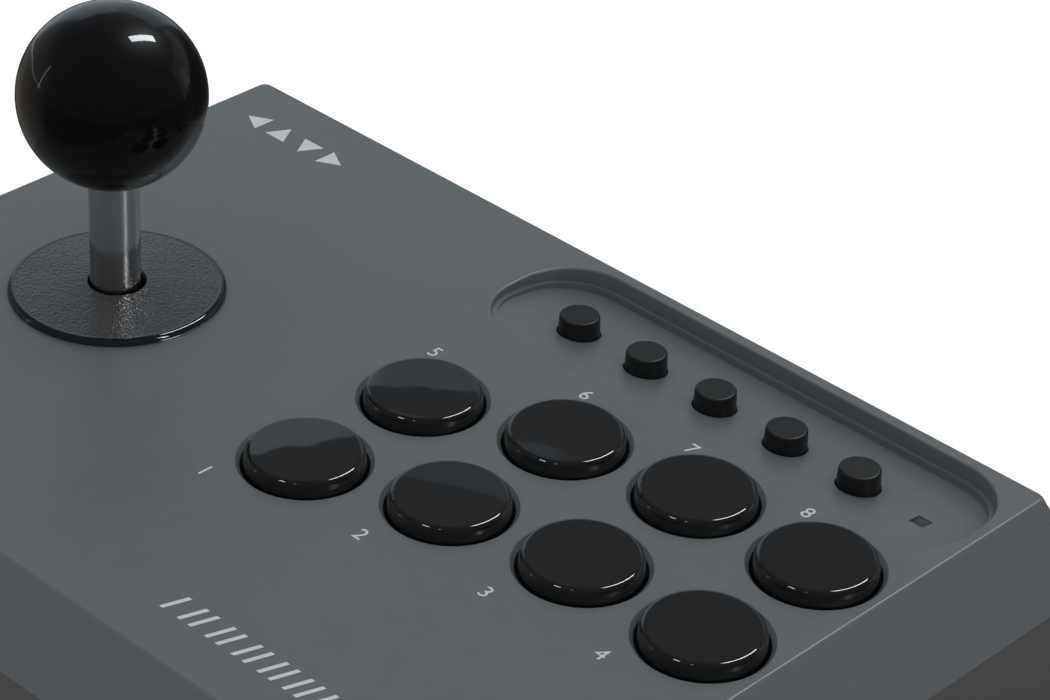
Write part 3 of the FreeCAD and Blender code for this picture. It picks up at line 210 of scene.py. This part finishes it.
def rubber(name, color, roughness, shine=0.5):
    """Silicone rubber with a fine dry skin and lint-sized specks."""
    made = Surface(name)
    place = made.place()
    fine = made.clouds(place, 0.18 * MM, detail=3.0)
    worn = made.clouds(place, 1.6 * MM, detail=5.0, roughness=0.7)
    specks = made.smooth(made.clouds(place, 0.35 * MM, detail=1.0), 0.72, 0.78)
    plain = made.mix(worn, shade(color, 0.75), shade(color, 1.3))
    made.set(
        Base_Color=made.mix(specks, plain, shade(color, 2.2)),
        Roughness=made.smooth(worn, 0.3, 0.7, roughness - 0.07, roughness + 0.06),
        Normal=made.bump(fine, 0.012 * MM),
        Specular_IOR_Level=shine,
    )
    return made.material


def turned_steel(name, color):
    """Polished shaft: nearly a mirror, with faint drawn lines along it and fine rings round it."""
    made = Surface(name)
    place = made.place()
    squashed = made.add("Mapping", {"Vector": place, "Scale": (1.0, 1.0, 14.0)}).outputs[0]
    rings = made.clouds(squashed, 1.2 * MM, detail=4.0)
    stretched = made.add("Mapping", {"Vector": place, "Scale": (1.0, 1.0, 0.02)}).outputs[0]
    streaks = made.clouds(stretched, 1.1 * MM, detail=3.0, roughness=0.6)
    made.set(
        Base_Color=made.mix(streaks, shade(color, 0.7), shade(color, 1.25)),
        Metallic=1.0,
        Roughness=made.smooth(streaks, 0.3, 0.7, 0.1, 0.17),
        Normal=made.bump(rings, 0.001 * MM, made.bump(streaks, 0.004 * MM)),
    )
    return made.material


def zinc_plate(name, color):
    """Bright zinc on screws, clips and springs, slightly cloudy."""
    made = Surface(name)
    place = made.place()
    cloudy = made.clouds(place, 1.5 * MM, detail=5.0, roughness=0.65)
    made.set(
        Base_Color=made.mix(cloudy, shade(color, 0.8), shade(color, 1.15)),
        Metallic=1.0,
        Roughness=made.smooth(cloudy, 0.3, 0.7, 0.24, 0.42),
        Normal=made.bump(cloudy, 0.004 * MM),
    )
    return made.material


def circuit_board(name, mask, track):
    """Solder mask over copper tracks that run in two directions."""
    made = Surface(name)
    place = made.place()
    bricks = made.add(
        "TexBrick",
        {"Vector": place, "Scale": 1 / (6 * MM), "Mortar Size": 0.08, "Mortar Smooth": 0.2},
        offset=0.37,
    )
    tracks = made.math("SUBTRACT", 1.0, bricks.outputs["Fac"])
    glass = made.clouds(place, 0.5 * MM, detail=2.0)
    toned = made.mix(glass, shade(mask, 0.85), shade(mask, 1.15))
    made.set(
        Base_Color=made.mix(tracks, track, toned),
        Roughness=0.35,
        Normal=made.bump(bricks.outputs["Fac"], 0.03 * MM),
    )
    return made.material


def smoked_lens(name, color):
    """Dark moulded window over the indicator lamp."""
    made = Surface(name)
    place = made.place()
    ripple = made.clouds(place, 0.8 * MM, detail=2.0)
    made.set(
        Base_Color=made.mix(ripple, shade(color, 0.8), shade(color, 1.2)),
        Roughness=made.smooth(ripple, 0.3, 0.7, 0.16, 0.26),
        Normal=made.bump(ripple, 0.01 * MM),
    )
    return made.material


def printed_ink(name, color):
    """Screen-printed ink, a little uneven and thin in places."""
    made = Surface(name)
    place = made.place()
    mesh = made.clouds(place, 0.12 * MM, detail=2.0)
    thin = made.clouds(place, 0.9 * MM, detail=4.0)
    tone = made.math("MULTIPLY_ADD", mesh, 0.5, made.math("MULTIPLY", thin, 0.5))
    made.set(
        Base_Color=made.mix(tone, shade(color, 0.82), shade(color, 1.12)),
        Roughness=0.5,
        Normal=made.bump(mesh, 0.004 * MM),
    )
    return made.material


def washer_plastic(name, color):
    """Dust washer: its grained field is mottled with painted shade where the grain's bump sinks and painted
    light where it rises; darker and polished on its rim.
    """
    made = Surface(name)
    place = made.place()
    axis = (LEVER.x, LEVER.y, 0.0)
    out = made.add("VectorMath", {0: place, 1: axis}, operation="SUBTRACT").outputs[0]
    flat = made.add("VectorMath", {0: out, 1: (1.0, 1.0, 0.0)}, operation="MULTIPLY").outputs[0]
    from_axis = made.add("VectorMath", {0: flat}, operation="LENGTH").outputs["Value"]
    rim = made.smooth(from_axis, GRAIN_RADIUS, GRAIN_RADIUS + 0.3 * MM)
    worn = made.clouds(place, 5 * MM, detail=4.0)
    pores = made.clouds(place, 0.4 * MM, detail=3.0)
    pore_depth = made.math("MULTIPLY", made.math("SUBTRACT", 1.0, rim), 0.02 * MM)
    # painted shade and light: the grain's colour darkens where its bump sinks and lightens where it rises
    grained = made.mix(made.smooth(pores, 0.3, 0.7), shade(color, 0.55), shade(color, 1.45))
    made.set(
        Base_Color=made.mix(rim, made.mix(worn, grained, shade(color, 1.15)), shade(color, 0.2)),
        Roughness=made.math("SUBTRACT", 0.2, made.math("MULTIPLY", rim, 0.14)),
        Normal=made.bump(pores, pore_depth),
    )
    return made.material


# ---------------------------------------------------------------- the CAD nodes' finishes


def dress(material, *names):
    """Gives CAD nodes a material."""
    for name in names:
        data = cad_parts[name].data
        data.materials.clear()
        data.materials.append(material)


def dress_outside():
    """Finishes of what shows on the closed panel."""
    dress(moulded("satin_grey", rgb(0.077, 0.086, 0.092), 0.36), "top_shell")
    dress(moulded("base_grey", rgb(0.064, 0.064, 0.064), 0.55), "bottom_shell")
    dress(gloss_black("knob_black", rgb(0.0008, 0.0009, 0.0011), 0.02, 0.09, 1.36), "ball_knob")
    dress(gloss_black("button_black", rgb(0.0036, 0.0038, 0.0041), 0.01, 0.02, 1.58), *MAIN_BUTTONS)
    dress(washer_plastic("washer_black", rgb(0.036, 0.038, 0.040)), "dust_washer", "under_washer")
    dress(rubber("button_rubber", rgb(0.0048, 0.0052, 0.0058), 0.42, shine=0.33), *SMALL_BUTTONS)
    dress(turned_steel("shaft_steel", rgb(0.62, 0.63, 0.63)), "shaft")
    dress(smoked_lens("lamp_window", rgb(0.03, 0.033, 0.032)), "indicator_window")
    dress(rubber("foot_rubber", rgb(0.016, 0.016, 0.016), 0.7), "rubber_feet", "cable_gland")
    dress(zinc_plate("zinc", rgb(0.5, 0.5, 0.52)), "case_screws")


def dress_inside():
    """Finishes of what the case hides."""
    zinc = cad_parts["case_screws"].data.materials[0]
    dress(zinc, "board_screws", "lever_screws", "shaft_clip", "spring_washer", "centring_spring")
    nylon = moulded("nylon", rgb(0.62, 0.62, 0.58), 0.4, grain=0.4 * MM)
    dress(nylon, "pivot_ball", "restrictor_gate", "lever_connector", "board_connector")
    dress(moulded("housing_black", rgb(0.02, 0.02, 0.021), 0.5), "lever_housing", "actuator")
    board = circuit_board("board_green", rgb(0.012, 0.085, 0.03), rgb(0.03, 0.16, 0.06))
    dress(board, "main_board", "small_board", "switch_board")
    dress(rubber("dome_silicone", rgb(0.3, 0.31, 0.32), 0.5), "button_domes", "small_button_domes")
    switch = moulded("switch_blue", rgb(0.02, 0.055, 0.16), 0.42)
    dress(switch, *[f"microswitch_{side}" for side in SIDES])
    plunger = moulded("plunger_red", rgb(0.35, 0.02, 0.015), 0.35)
    dress(plunger, *[f"plunger_{side}" for side in SIDES])
    dress(moulded("chip_epoxy", rgb(0.014, 0.014, 0.015), 0.5), "controller_chip")
    dress(moulded("lamp_epoxy", rgb(0.7, 0.7, 0.66), 0.2), "indicator_led")
    dress(rubber("wire_sleeve", rgb(0.09, 0.09, 0.1), 0.5), "lever_wires", "board_ribbon")


# ---------------------------------------------------------------- the dust washer


def leather(x, y):
    """Height of the washer's grain at a point: 1 on the pebbles, 0 in the creases between them."""
    pebble = 0.78 * MM
    crease = 0.4  # width of a crease, in pebbles
    spot = Vector((x, y, 0.0)) / pebble
    spot += noise.noise_vector(spot * 0.7) * 0.5
    near, next_near = noise.voronoi(spot)[0][:2]
    unevenness = 0.75 + 0.25 * noise.noise(spot * 2.5)
    return min(1.0, (next_near - near) / crease) * unevenness


def washer_profile(low, high, radius):
    """The washer's section, from its bore round to its bore again, as (radius, height, grained)."""
    edge = min(1.1 * MM, (high - low) * 0.9)
    bevel = 0.25 * MM  # rounding at the bore
    bevel_middle = 0.08 * MM
    foot = 0.15 * MM  # chamfer under the rim
    step = 0.16 * MM
    crown = high + WASHER_CROWN
    section = [
        (WASHER_BORE, low, False),
        (WASHER_BORE, crown - bevel, False),
        (WASHER_BORE + bevel_middle, crown - bevel_middle, False),
        (WASHER_BORE + bevel, crown, False),
    ]
    width = radius - edge - WASHER_BORE
    first_ring = 3  # the first one well outside the bevel
    for ring in range(first_ring, round(width / step)):
        section.append((WASHER_BORE + step * ring, crown - WASHER_CROWN * step * ring / width, True))
    for turn in range(0, 91, 10):
        angle = math.radians(turn)
        out = radius - edge + edge * math.sin(angle)
        section.append((out, high - edge + edge * math.cos(angle), False))
    section += [(radius, low + foot, False), (radius - foot, low, False)]
    return section


def add_washer():
    """The dust washer, with its leather grain pressed into the mesh and a smooth rounded rim."""
    low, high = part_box("dust_washer")
    section = washer_profile(low.z, high.z, (high.x - low.x) / 2)
    grain_depth = 0.09 * MM
    segments = 720
    grain_seed = 1  # 0 would take the time of day, and each run would have another grain
    noise.seed_set(grain_seed)
    form = bmesh.new()
    rings = []
    for radius, height, grained in section:
        ring = []
        for turn in range(segments):
            angle = math.tau * turn / segments
            x = LEVER.x + radius * math.cos(angle)
            y = LEVER.y + radius * math.sin(angle)
            z = height - grain_depth * (1 - leather(x, y)) if grained else height
            ring.append(form.verts.new((x, y, z)))
        rings.append(ring)
    for inner, outer in zip(rings, rings[1:] + rings[:1]):
        for turn in range(segments):
            after = (turn + 1) % segments
            form.faces.new((inner[turn], inner[after], outer[after], outer[turn]))
    bmesh.ops.recalc_face_normals(form, faces=form.faces)
    for face in form.faces:
        face.smooth = True
    mesh = bpy.data.meshes.new("grained_washer")
    form.to_mesh(mesh)
    form.free()
    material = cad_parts["dust_washer"].data.materials[0]
    piece = finish_piece("grained_washer", mesh, material, "dust_washer")
    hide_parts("dust_washer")
    return piece


# ---------------------------------------------------------------- printed marks


INK_THICK = 0.03 * MM


def finish_piece(name, mesh, material, body):
    """Makes an object of a mesh, and says what it rides on and which finish it takes."""
    piece = bpy.data.objects.new(name, mesh)
    bpy.context.scene.collection.objects.link(piece)
    mesh.materials.append(material)
    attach(piece, body)
    return piece


def slab(outlines):
    """A mesh of flat shapes, each an outline on the panel, raised by the ink's thickness."""
    form = bmesh.new()
    for outline in outlines:
        corners = [form.verts.new((x, y, PANEL_TOP)) for x, y in outline]
        face = form.faces.new(corners)
        raised = bmesh.ops.extrude_face_region(form, geom=[face])["geom"]
        lifted = [item for item in raised if isinstance(item, bmesh.types.BMVert)]
        bmesh.ops.translate(form, verts=lifted, vec=(0, 0, INK_THICK))
    bmesh.ops.recalc_face_normals(form, faces=form.faces)
    mesh = bpy.data.meshes.new("slab")
    form.to_mesh(mesh)
    form.free()
    return mesh


def number_mesh(text, height, x, y):
    """A number lying on the panel, read from the front, with its middle at a point."""
    curve = bpy.data.curves.new("number", "FONT")
    curve.body = text
    curve.extrude = 0.5
    curve.resolution_u = 6
    maker = bpy.data.objects.new("number", curve)
    bpy.context.scene.collection.objects.link(maker)
    bpy.context.view_layer.update()
    mesh = bpy.data.meshes.new_from_object(maker)
    bpy.data.objects.remove(maker)
    low = Vector(map(min, *[v.co for v in mesh.vertices]))
    high = Vector(map(max, *[v.co for v in mesh.vertices]))
    scale = height / (high.y - low.y)
    centre = (low + high) / 2
    mesh.transform(Matrix.Translation((-centre.x, -centre.y, 0.5)))
    mesh.transform(Matrix.Diagonal((scale, scale, INK_THICK, 1)))
    mesh.transform(Matrix.Translation((x, y, PANEL_TOP)))
    return mesh


def add_numbers(ink):
    """A number beside each main button: in front of the front row, behind the back row."""
    # from the middle of each button to its number, in millimetres
    offsets = [(-9.2, -14.6), (-3.9, -16.9), (-5.4, -17.1), (-8.1, -15.2)]
    offsets += [(-9.4, 12.3), (-7.5, 13.3), (-10.3, 10.5), (-11.0, 10.9)]
    number_height = 3.0 * MM
    for name, (x, y) in zip(MAIN_BUTTONS, offsets):
        centre = middle(name)
        number = name.split("_")[1]
        mesh = number_mesh(number, number_height, centre.x + x * MM, centre.y + y * MM)
        finish_piece("printed_" + number, mesh, ink, "case")


def add_arrows(ink):
    """Four arrowheads in a row behind the lever: left, up, down, right."""
    half = 2.6 * MM
    pitch = 7.2 * MM
    first_x = LEVER.x - 30 * MM
    y = LEVER.y + 62 * MM
    outlines = []
    for place, angle in enumerate((90, 0, 180, 270)):
        turn = Matrix.Rotation(math.radians(angle), 2)
        corners = [Vector((-half, -half * 0.8)), Vector((half, -half * 0.8)), Vector((0, half))]
        centre = Vector((first_x + place * pitch, y))
        outlines.append([centre + turn @ corner for corner in corners])
    finish_piece("printed_arrows", slab(outlines), ink, "case")


def add_bars(ink):
    """Thin slanted strokes along the front in pairs, the gap in each pair narrower than the one before."""
    x = 20 * MM
    low, high = -61.2 * MM, -56.2 * MM
    slant = 1.6 * MM
    stroke = 0.85 * MM
    pairs = 12
    widest, narrowing = 4.2, 0.25  # millimetres
    between_pairs = 2.6 * MM
    outlines = []
    for count in range(pairs):
        width = (widest - narrowing * count) * MM
        for start in (x, x + width):
            foot = [(start, low), (start + stroke, low)]
            head = [(start + stroke + slant, high), (start + slant, high)]
            outlines.append(foot + head)
        x += width + between_pairs
    finish_piece("printed_bars", slab(outlines), ink, "case")


def add_marks():
    """Everything that is printed on the panel, in pale grey ink."""
    ink = printed_ink("pale_ink", rgb(0.38, 0.415, 0.44))
    add_numbers(ink)
    add_arrows(ink)
    add_bars(ink)


# ---------------------------------------------------------------- studio


def add_camera():
    """A long lens, close to the front right corner and looking down at the lever."""
    eye = Vector((0.36914, -0.36057, 0.39208))
    lens = bpy.data.cameras.new("camera")
    lens.lens = 121.54
    lens.sensor_width = 36.0
    lens.clip_start = 0.01
    camera = bpy.data.objects.new("camera", lens)
    bpy.context.scene.collection.objects.link(camera)
    azimuth = Matrix.Rotation(math.radians(42.326), 4, "Z")
    tilt = Matrix.Rotation(math.radians(90 - 32.615), 4, "X")
    roll = Matrix.Rotation(math.radians(3.117), 4, "Z")
    camera.matrix_world = Matrix.Translation(eye) @ azimuth @ tilt @ roll
    bpy.context.scene.camera = camera


def add_floor():
    """A wide pale sheet that the panel stands on."""
    half = 3.0
    form = bmesh.new()
    bmesh.ops.create_grid(form, x_segments=8, y_segments=8, size=half)
    mesh = bpy.data.meshes.new("floor")
    form.to_mesh(mesh)
    form.free()
    floor = bpy.data.objects.new("floor", mesh)
    bpy.context.scene.collection.objects.link(floor)
    made = Surface("pale_paper")
    fibres = made.clouds(made.place(), 2 * MM, detail=4.0)
    made.set(Base_Color=made.mix(fibres, rgb(0.89, 0.89, 0.89), rgb(0.92, 0.92, 0.92)), Roughness=0.9)
    mesh.materials.append(made.material)
    floor.visible_glossy = False


def toward(azimuth, elevation):
    """A unit vector from its angles in degrees, the azimuth counted from +X towards +Y."""
    flat = math.cos(math.radians(elevation))
    turn = math.radians(azimuth)
    return Vector((flat * math.cos(turn), flat * math.sin(turn), math.sin(math.radians(elevation))))


def add_lamp(name, away, distance, size, strength, diffuse=True, glossy=True):
    """An oblong lamp that faces the panel from a direction; strength is its radiance."""
    light = bpy.data.lights.new(name, "AREA")
    light.shape = "RECTANGLE"
    light.size, light.size_y = size
    light.energy = strength * math.pi * size[0] * size[1]
    lamp = bpy.data.objects.new(name, light)
    bpy.context.scene.collection.objects.link(lamp)
    lamp.location = away * distance
    lamp.rotation_euler = away.to_track_quat("Z", "Y").to_euler()
    lamp.visible_diffuse = diffuse
    lamp.visible_glossy = glossy
    lamp.visible_camera = False
    return lamp


def light_only(lamp, pieces):
    """Keeps a lamp to some pieces, as a flag or a card close to them does in a studio."""
    lit = bpy.data.collections.new(lamp.name + "_lights")
    for piece in pieces:
        lit.objects.link(piece)
    lamp.light_linking.receiver_collection = lit


def add_lamps(washer):
    """A soft lamp that lights the panel, and lamps that only show in its polished parts.

    Three of those are each kept to the pieces that they show in.
    """
    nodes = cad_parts
    add_lamp("soft_top", toward(140, 58), 0.8, (0.7, 0.7), 0.95, glossy=False)
    window = add_lamp("window", toward(86.4, 57.3), 2.0, (0.25, 0.9), 26.0, diffuse=False)
    window.data.color = (0.93, 0.98, 1.0)
    add_lamp("left_strip", toward(219, 15), 2.0, (0.07, 0.8), 1.5, diffuse=False)
    caps = [nodes[name] for name in MAIN_BUTTONS]
    light_only(add_lamp("ceiling_lamp", toward(255, 60.5), 2.0, (0.3, 0.16), 26.0, diffuse=False), caps)
    light_only(add_lamp("far_lamp", toward(294, 56), 2.0, (0.12, 0.08), 14.0, diffuse=False), caps)
    side = add_lamp("side_window", toward(9, 33), 2.0, (0.22, 0.9), 15.0, diffuse=False)
    light_only(side, [nodes["top_shell"], nodes["shaft"], washer])


class Room(Tree):
    """The world's nodes. Each direction has a height from -1 to 1, and an azimuth from +X towards +Y."""

    def __init__(self, world):
        world.use_nodes = True
        super().__init__(world.node_tree)
        self.direction = self.add("TexCoord").outputs["Generated"]
        parts = self.add("SeparateXYZ", {0: self.direction})
        self.backward = parts.outputs["Y"]
        self.height = parts.outputs["Z"]
        turn = self.math("ARCTAN2", self.backward, parts.outputs["X"])
        self.azimuth = self.math("FLOORED_MODULO", turn, math.tau)

    def between(self, value, low, high, blur):
        """1 where value lies from low to high, fading over a width at each side."""
        rises = self.smooth(value, low - blur, low + blur)
        return self.math("MULTIPLY", rises, self.smooth(value, high - blur, high + blur, 1.0, 0.0))

    def sector(self, low, high, blur):
        """1 between two azimuths. All three are in degrees."""
        return self.between(self.azimuth, math.radians(low), math.radians(high), math.radians(blur))

    def line(self, rise, height, azimuth):
        """Height of a line that climbs by rise per radian, through a height at an azimuth in degrees."""
        return self.math("MULTIPLY_ADD", self.azimuth, rise, height - rise * math.radians(azimuth))

    def both(self, first, *others):
        """1 where every one of the shares is 1."""
        for other in others:
            first = self.math("MULTIPLY", first, other)
        return first


def paint_coving(room, color):
    """A paler band under the ceiling at the back."""
    share = room.both(room.between(room.height, 0.53, 0.66, 0.04), room.sector(119, 146, 4.584))
    return room.mix(share, color, rgb(0.145, 0.150, 0.160))


def paint_left_wall(room, color):
    """A brown wall on the left, with a thin bright line across it that bends once."""
    share = room.both(room.sector(165, 232, 8), room.between(room.height, -0.7, 0.42, 0.06))
    color = room.mix(share, color, rgb(0.185, 0.170, 0.155))
    bend_height, bend_azimuth = 0.0244, 186
    gentle = room.line(0.07, bend_height, bend_azimuth)
    steep = room.line(0.48, bend_height, bend_azimuth)
    from_line = room.math("SUBTRACT", room.height, room.math("MINIMUM", gentle, steep))
    share = room.both(room.sector(150, 224, 1), room.between(from_line, -0.01, 0.01, 0.004))
    return room.mix(share, color, rgb(0.95, 0.98, 1.05))


def paint_right_wall(room, color):
    """A dark patch low at the back, and a paler wall over a slanting edge, with a bright pane in it."""
    share = room.both(room.sector(70, 114, 4), room.between(room.height, -0.45, 0.1, 0.06))
    color = room.mix(share, color, rgb(0.022, 0.021, 0.020))
    over_edge = room.math("SUBTRACT", room.height, room.line(0.4, 0.14, 90))
    share = room.both(
        room.sector(52, 106, 2),
        room.smooth(over_edge, -0.02, 0.02),
        room.smooth(room.height, 0.38, 0.42, 1.0, 0.0),
    )
    color = room.mix(share, color, rgb(0.24, 0.25, 0.265))
    share = room.both(room.sector(60, 72, 1.5), room.between(room.height, 0.0, 0.24, 0.02))
    return room.mix(share, color, rgb(0.44, 0.45, 0.48))


def paint_back_wall(room, color):
    """A bright wall in two tones up to an uneven top, with the edge of a shelf over its darker part."""
    uneven = room.math("MULTIPLY_ADD", room.clouds(room.direction, 0.02, detail=4.0), 0.005, -0.0025)
    level = room.math("SUBTRACT", room.height, uneven)
    over_shelf = room.math("SUBTRACT", level, room.line(-0.14, 0.5722, 133.6))
    shelf = room.both(room.between(over_shelf, -0.0145, 0.0, 0.0003), room.sector(131.5, 134.9, 0.2865))
    color = room.mix(shelf, color, rgb(0.25, 0.29, 0.315))

    past_step = room.math("MAXIMUM", room.math("SUBTRACT", room.azimuth, math.radians(135.6)), 0.0)
    step = room.smooth(room.azimuth, math.radians(135.3), math.radians(135.6), 0.549, 0.5606)
    top = room.math("MINIMUM", room.math("MULTIPLY_ADD", past_step, 0.15, step), 0.59)
    start = room.math("MULTIPLY_ADD", room.height, -0.45, math.radians(117))
    wall = room.both(
        room.smooth(room.math("SUBTRACT", level, top), -0.0002, 0.0002, 1.0, 0.0),
        room.smooth(room.height, -0.3, -0.1),
        room.smooth(room.math("SUBTRACT", room.azimuth, start), -0.03, 0.03),
        room.smooth(room.azimuth, math.radians(160), math.radians(170), 1.0, 0.0),
    )
    nearer = room.smooth(room.azimuth, math.radians(134.9), math.radians(135.3))
    tone = room.mix(nearer, rgb(0.35, 0.405, 0.445), rgb(0.49, 0.575, 0.635))
    return room.mix(wall, color, tone)


def add_room():
    """Pale light all round, a little stronger from the back; reflections see a dim room with pale walls."""
    world = bpy.data.worlds.new("room")
    bpy.context.scene.world = world
    room = Room(world)
    ceiling = rgb(0.100, 0.105, 0.115)
    ground = rgb(0.060, 0.052, 0.044)
    color = room.mix(room.smooth(room.height, -0.1, 0.0), ground, ceiling)
    for paint in (paint_coving, paint_left_wall, paint_right_wall, paint_back_wall):
        color = paint(room, color)
    from_back = room.smooth(room.backward, -0.7, 0.7)
    pale = room.mix(from_back, rgb(0.97, 0.97, 0.97), rgb(1.15, 1.15, 1.15))
    is_glossy = room.add("LightPath").outputs["Is Glossy Ray"]
    background = world.node_tree.nodes["Background"]
    room.feed(background.inputs["Color"], room.mix(is_glossy, pale, color))


def set_view():
    """Plain colours, with no film curve."""
    bpy.context.scene.view_settings.view_transform = "Standard"


dress_outside()
dress_inside()
washer = add_washer()
add_marks()
add_camera()
add_floor()
add_lamps(washer)
add_room()
set_view()
